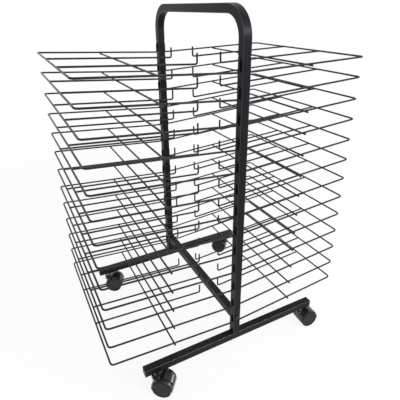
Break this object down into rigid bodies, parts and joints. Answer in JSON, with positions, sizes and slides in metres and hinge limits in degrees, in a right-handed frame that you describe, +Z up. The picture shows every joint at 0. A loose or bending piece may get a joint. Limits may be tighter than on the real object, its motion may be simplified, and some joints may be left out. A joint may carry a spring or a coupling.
{
  "type": "art drying rack",
  "caption": "Mobile drying rack for paintings: double-sided wire shelves hooked on two square uprights, with a tube handle on top and swivel casters below.",
  "frame": {"origin": "On the floor, in the middle of the rack.", "axes": "+X along the feet, from the left shelves to the right shelves; +Y along the handle, from the front upright to the rear one; +Z up."},
  "size_m": [0.6826, 0.5372, 0.905],
  "materials": {
    "frame_tube": "black powder coat, satin, with a soft highlight on the tube's rounded edges",
    "shelf_wire": "black powder-coated steel wire",
    "bright_steel": "zinc-plated bright steel",
    "caster_plastic": "moulded dark grey plastic, slightly glossy",
    "wheel_plastic": "moulded dark grey plastic tread and face",
    "lever_plastic": "moulded grey plastic",
    "cap_plastic": "moulded black plastic",
    "black_screws": "black oxide steel",
    "insert_steel": "plain steel, hidden"
  },
  "bodies": {
    "frame": {"front_foot_bar": "frame_tube", "front_upright": "frame_tube", "rear_foot_bar": "frame_tube", "rear_upright": "frame_tube", "crossbar": "frame_tube", "handle": "frame_tube", "foot_end_caps": "cap_plastic", "threaded_inserts": "insert_steel", "foot_bolts": "black_screws", "crossbar_screws": "black_screws", "handle_screws": "black_screws", "front_left_caster_stem": "bright_steel", "front_right_caster_stem": "bright_steel", "rear_left_caster_stem": "bright_steel", "rear_right_caster_stem": "bright_steel"},
    "front_left_caster": {"front_left_caster_hood": "caster_plastic", "front_left_caster_axle": "bright_steel"},
    "front_left_near_wheel": {"front_left_near_wheel": "wheel_plastic"},
    "front_left_far_wheel": {"front_left_far_wheel": "wheel_plastic"},
    "front_left_lever": {"front_left_brake_lever": "lever_plastic"},
    "front_right_caster": {"front_right_caster_hood": "caster_plastic", "front_right_caster_axle": "bright_steel"},
    "front_right_near_wheel": {"front_right_near_wheel": "wheel_plastic"},
    "front_right_far_wheel": {"front_right_far_wheel": "wheel_plastic"},
    "rear_left_caster": {"rear_left_caster_hood": "caster_plastic", "rear_left_caster_axle": "bright_steel"},
    "rear_left_near_wheel": {"rear_left_near_wheel": "wheel_plastic"},
    "rear_left_far_wheel": {"rear_left_far_wheel": "wheel_plastic"},
    "rear_right_caster": {"rear_right_caster_hood": "caster_plastic", "rear_right_caster_axle": "bright_steel"},
    "rear_right_near_wheel": {"rear_right_near_wheel": "wheel_plastic"},
    "rear_right_far_wheel": {"rear_right_far_wheel": "wheel_plastic"},
    "rear_right_lever": {"rear_right_brake_lever": "lever_plastic"},
    "left_shelf_01": {"left_shelf_01": "shelf_wire"},
    "right_shelf_01": {"right_shelf_01": "shelf_wire"},
    "left_shelf_02": {"left_shelf_02": "shelf_wire"},
    "right_shelf_02": {"right_shelf_02": "shelf_wire"},
    "left_shelf_03": {"left_shelf_03": "shelf_wire"},
    "right_shelf_03": {"right_shelf_03": "shelf_wire"},
    "left_shelf_04": {"left_shelf_04": "shelf_wire"},
    "right_shelf_04": {"right_shelf_04": "shelf_wire"},
    "left_shelf_05": {"left_shelf_05": "shelf_wire"},
    "right_shelf_05": {"right_shelf_05": "shelf_wire"},
    "left_shelf_06": {"left_shelf_06": "shelf_wire"},
    "right_shelf_06": {"right_shelf_06": "shelf_wire"},
    "left_shelf_07": {"left_shelf_07": "shelf_wire"},
    "right_shelf_07": {"right_shelf_07": "shelf_wire"},
    "left_shelf_08": {"left_shelf_08": "shelf_wire"},
    "right_shelf_08": {"right_shelf_08": "shelf_wire"},
    "left_shelf_09": {"left_shelf_09": "shelf_wire"},
    "right_shelf_09": {"right_shelf_09": "shelf_wire"},
    "left_shelf_10": {"left_shelf_10": "shelf_wire"},
    "right_shelf_10": {"right_shelf_10": "shelf_wire"},
    "left_shelf_11": {"left_shelf_11": "shelf_wire"},
    "right_shelf_11": {"right_shelf_11": "shelf_wire"},
    "left_shelf_12": {"left_shelf_12": "shelf_wire"},
    "right_shelf_12": {"right_shelf_12": "shelf_wire"},
    "left_shelf_13": {"left_shelf_13": "shelf_wire"},
    "right_shelf_13": {"right_shelf_13": "shelf_wire"}
  },
  "joints": [
    {"name": "front_left_swivel", "type": "hinge", "parent": "frame", "child": "front_left_caster", "pos_m": [-0.235, -0.22, 0.045], "axis": [0, 0, 1], "continuous": true},
    {"name": "front_left_near_roll", "type": "hinge", "parent": "front_left_caster", "child": "front_left_near_wheel", "pos_m": [-0.21815, -0.23414, 0.025], "axis": [0.6428, 0.766, 0], "continuous": true},
    {"name": "front_left_far_roll", "type": "hinge", "parent": "front_left_caster", "child": "front_left_far_wheel", "pos_m": [-0.21815, -0.23414, 0.025], "axis": [0.6428, 0.766, 0], "continuous": true},
    {"name": "front_left_brake", "type": "hinge", "parent": "front_left_caster", "child": "front_left_lever", "pos_m": [-0.21333, -0.23818, 0.05459], "axis": [0.6428, 0.766, 0], "range_deg": [0, 6]},
    {"name": "front_right_swivel", "type": "hinge", "parent": "frame", "child": "front_right_caster", "pos_m": [0.235, -0.22, 0.045], "axis": [0, 0, 1], "continuous": true},
    {"name": "front_right_near_roll", "type": "hinge", "parent": "front_right_caster", "child": "front_right_near_wheel", "pos_m": [0.25692, -0.22192, 0.025], "axis": [0.0872, 0.9962, 0], "continuous": true},
    {"name": "front_right_far_roll", "type": "hinge", "parent": "front_right_caster", "child": "front_right_far_wheel", "pos_m": [0.25692, -0.22192, 0.025], "axis": [0.0872, 0.9962, 0], "continuous": true},
    {"name": "rear_left_swivel", "type": "hinge", "parent": "frame", "child": "rear_left_caster", "pos_m": [-0.235, 0.22, 0.045], "axis": [0, 0, 1], "continuous": true},
    {"name": "rear_left_near_roll", "type": "hinge", "parent": "rear_left_caster", "child": "rear_left_near_wheel", "pos_m": [-0.21557, 0.20967, 0.025], "axis": [0.4695, 0.8829, 0], "continuous": true},
    {"name": "rear_left_far_roll", "type": "hinge", "parent": "rear_left_caster", "child": "rear_left_far_wheel", "pos_m": [-0.21557, 0.20967, 0.025], "axis": [0.4695, 0.8829, 0], "continuous": true},
    {"name": "rear_right_swivel", "type": "hinge", "parent": "frame", "child": "rear_right_caster", "pos_m": [0.235, 0.22, 0.045], "axis": [0, 0, 1], "continuous": true},
    {"name": "rear_right_near_roll", "type": "hinge", "parent": "rear_right_caster", "child": "rear_right_near_wheel", "pos_m": [0.21815, 0.23414, 0.025], "axis": [-0.6428, -0.766, 0], "continuous": true},
    {"name": "rear_right_far_roll", "type": "hinge", "parent": "rear_right_caster", "child": "rear_right_far_wheel", "pos_m": [0.21815, 0.23414, 0.025], "axis": [-0.6428, -0.766, 0], "continuous": true},
    {"name": "rear_right_brake", "type": "hinge", "parent": "rear_right_caster", "child": "rear_right_lever", "pos_m": [0.21333, 0.23818, 0.05459], "axis": [-0.6428, -0.766, 0], "range_deg": [0, 6]},
    {"name": "left_shelf_01_lift", "type": "hinge", "parent": "frame", "child": "left_shelf_01", "pos_m": [-0.0094, 0, 0.137], "axis": [0, 1, 0], "range_deg": [0, 6]},
    {"name": "right_shelf_01_lift", "type": "hinge", "parent": "frame", "child": "right_shelf_01", "pos_m": [0.0094, 0, 0.137], "axis": [0, -1, 0], "range_deg": [0, 6]},
    {"name": "left_shelf_02_lift", "type": "hinge", "parent": "frame", "child": "left_shelf_02", "pos_m": [-0.0094, 0, 0.192], "axis": [0, 1, 0], "range_deg": [0, 6]},
    {"name": "right_shelf_02_lift", "type": "hinge", "parent": "frame", "child": "right_shelf_02", "pos_m": [0.0094, 0, 0.192], "axis": [0, -1, 0], "range_deg": [0, 6]},
    {"name": "left_shelf_03_lift", "type": "hinge", "parent": "frame", "child": "left_shelf_03", "pos_m": [-0.0094, 0, 0.247], "axis": [0, 1, 0], "range_deg": [0, 6]},
    {"name": "right_shelf_03_lift", "type": "hinge", "parent": "frame", "child": "right_shelf_03", "pos_m": [0.0094, 0, 0.247], "axis": [0, -1, 0], "range_deg": [0, 6]},
    {"name": "left_shelf_04_lift", "type": "hinge", "parent": "frame", "child": "left_shelf_04", "pos_m": [-0.0094, 0, 0.302], "axis": [0, 1, 0], "range_deg": [0, 6]},
    {"name": "right_shelf_04_lift", "type": "hinge", "parent": "frame", "child": "right_shelf_04", "pos_m": [0.0094, 0, 0.302], "axis": [0, -1, 0], "range_deg": [0, 6]},
    {"name": "left_shelf_05_lift", "type": "hinge", "parent": "frame", "child": "left_shelf_05", "pos_m": [-0.0094, 0, 0.357], "axis": [0, 1, 0], "range_deg": [0, 6]},
    {"name": "right_shelf_05_lift", "type": "hinge", "parent": "frame", "child": "right_shelf_05", "pos_m": [0.0094, 0, 0.357], "axis": [0, -1, 0], "range_deg": [0, 6]},
    {"name": "left_shelf_06_lift", "type": "hinge", "parent": "frame", "child": "left_shelf_06", "pos_m": [-0.0094, 0, 0.412], "axis": [0, 1, 0], "range_deg": [0, 6]},
    {"name": "right_shelf_06_lift", "type": "hinge", "parent": "frame", "child": "right_shelf_06", "pos_m": [0.0094, 0, 0.412], "axis": [0, -1, 0], "range_deg": [0, 6]},
    {"name": "left_shelf_07_lift", "type": "hinge", "parent": "frame", "child": "left_shelf_07", "pos_m": [-0.0094, 0, 0.467], "axis": [0, 1, 0], "range_deg": [0, 6]},
    {"name": "right_shelf_07_lift", "type": "hinge", "parent": "frame", "child": "right_shelf_07", "pos_m": [0.0094, 0, 0.467], "axis": [0, -1, 0], "range_deg": [0, 6]},
    {"name": "left_shelf_08_lift", "type": "hinge", "parent": "frame", "child": "left_shelf_08", "pos_m": [-0.0094, 0, 0.522], "axis": [0, 1, 0], "range_deg": [0, 6]},
    {"name": "right_shelf_08_lift", "type": "hinge", "parent": "frame", "child": "right_shelf_08", "pos_m": [0.0094, 0, 0.522], "axis": [0, -1, 0], "range_deg": [0, 6]},
    {"name": "left_shelf_09_lift", "type": "hinge", "parent": "frame", "child": "left_shelf_09", "pos_m": [-0.0094, 0, 0.577], "axis": [0, 1, 0], "range_deg": [0, 6]},
    {"name": "right_shelf_09_lift", "type": "hinge", "parent": "frame", "child": "right_shelf_09", "pos_m": [0.0094, 0, 0.577], "axis": [0, -1, 0], "range_deg": [0, 6]},
    {"name": "left_shelf_10_lift", "type": "hinge", "parent": "frame", "child": "left_shelf_10", "pos_m": [-0.0094, 0, 0.632], "axis": [0, 1, 0], "range_deg": [0, 6]},
    {"name": "right_shelf_10_lift", "type": "hinge", "parent": "frame", "child": "right_shelf_10", "pos_m": [0.0094, 0, 0.632], "axis": [0, -1, 0], "range_deg": [0, 6]},
    {"name": "left_shelf_11_lift", "type": "hinge", "parent": "frame", "child": "left_shelf_11", "pos_m": [-0.0094, 0, 0.687], "axis": [0, 1, 0], "range_deg": [0, 6]},
    {"name": "right_shelf_11_lift", "type": "hinge", "parent": "frame", "child": "right_shelf_11", "pos_m": [0.0094, 0, 0.687], "axis": [0, -1, 0], "range_deg": [0, 6]},
    {"name": "left_shelf_12_lift", "type": "hinge", "parent": "frame", "child": "left_shelf_12", "pos_m": [-0.0094, 0, 0.742], "axis": [0, 1, 0], "range_deg": [0, 6]},
    {"name": "right_shelf_12_lift", "type": "hinge", "parent": "frame", "child": "right_shelf_12", "pos_m": [0.0094, 0, 0.742], "axis": [0, -1, 0], "range_deg": [0, 6]},
    {"name": "left_shelf_13_lift", "type": "hinge", "parent": "frame", "child": "left_shelf_13", "pos_m": [-0.0094, 0, 0.797], "axis": [0, 1, 0], "range_deg": [0, 6]},
    {"name": "right_shelf_13_lift", "type": "hinge", "parent": "frame", "child": "right_shelf_13", "pos_m": [0.0094, 0, 0.797], "axis": [0, -1, 0], "range_deg": [0, 6]}
  ]
}
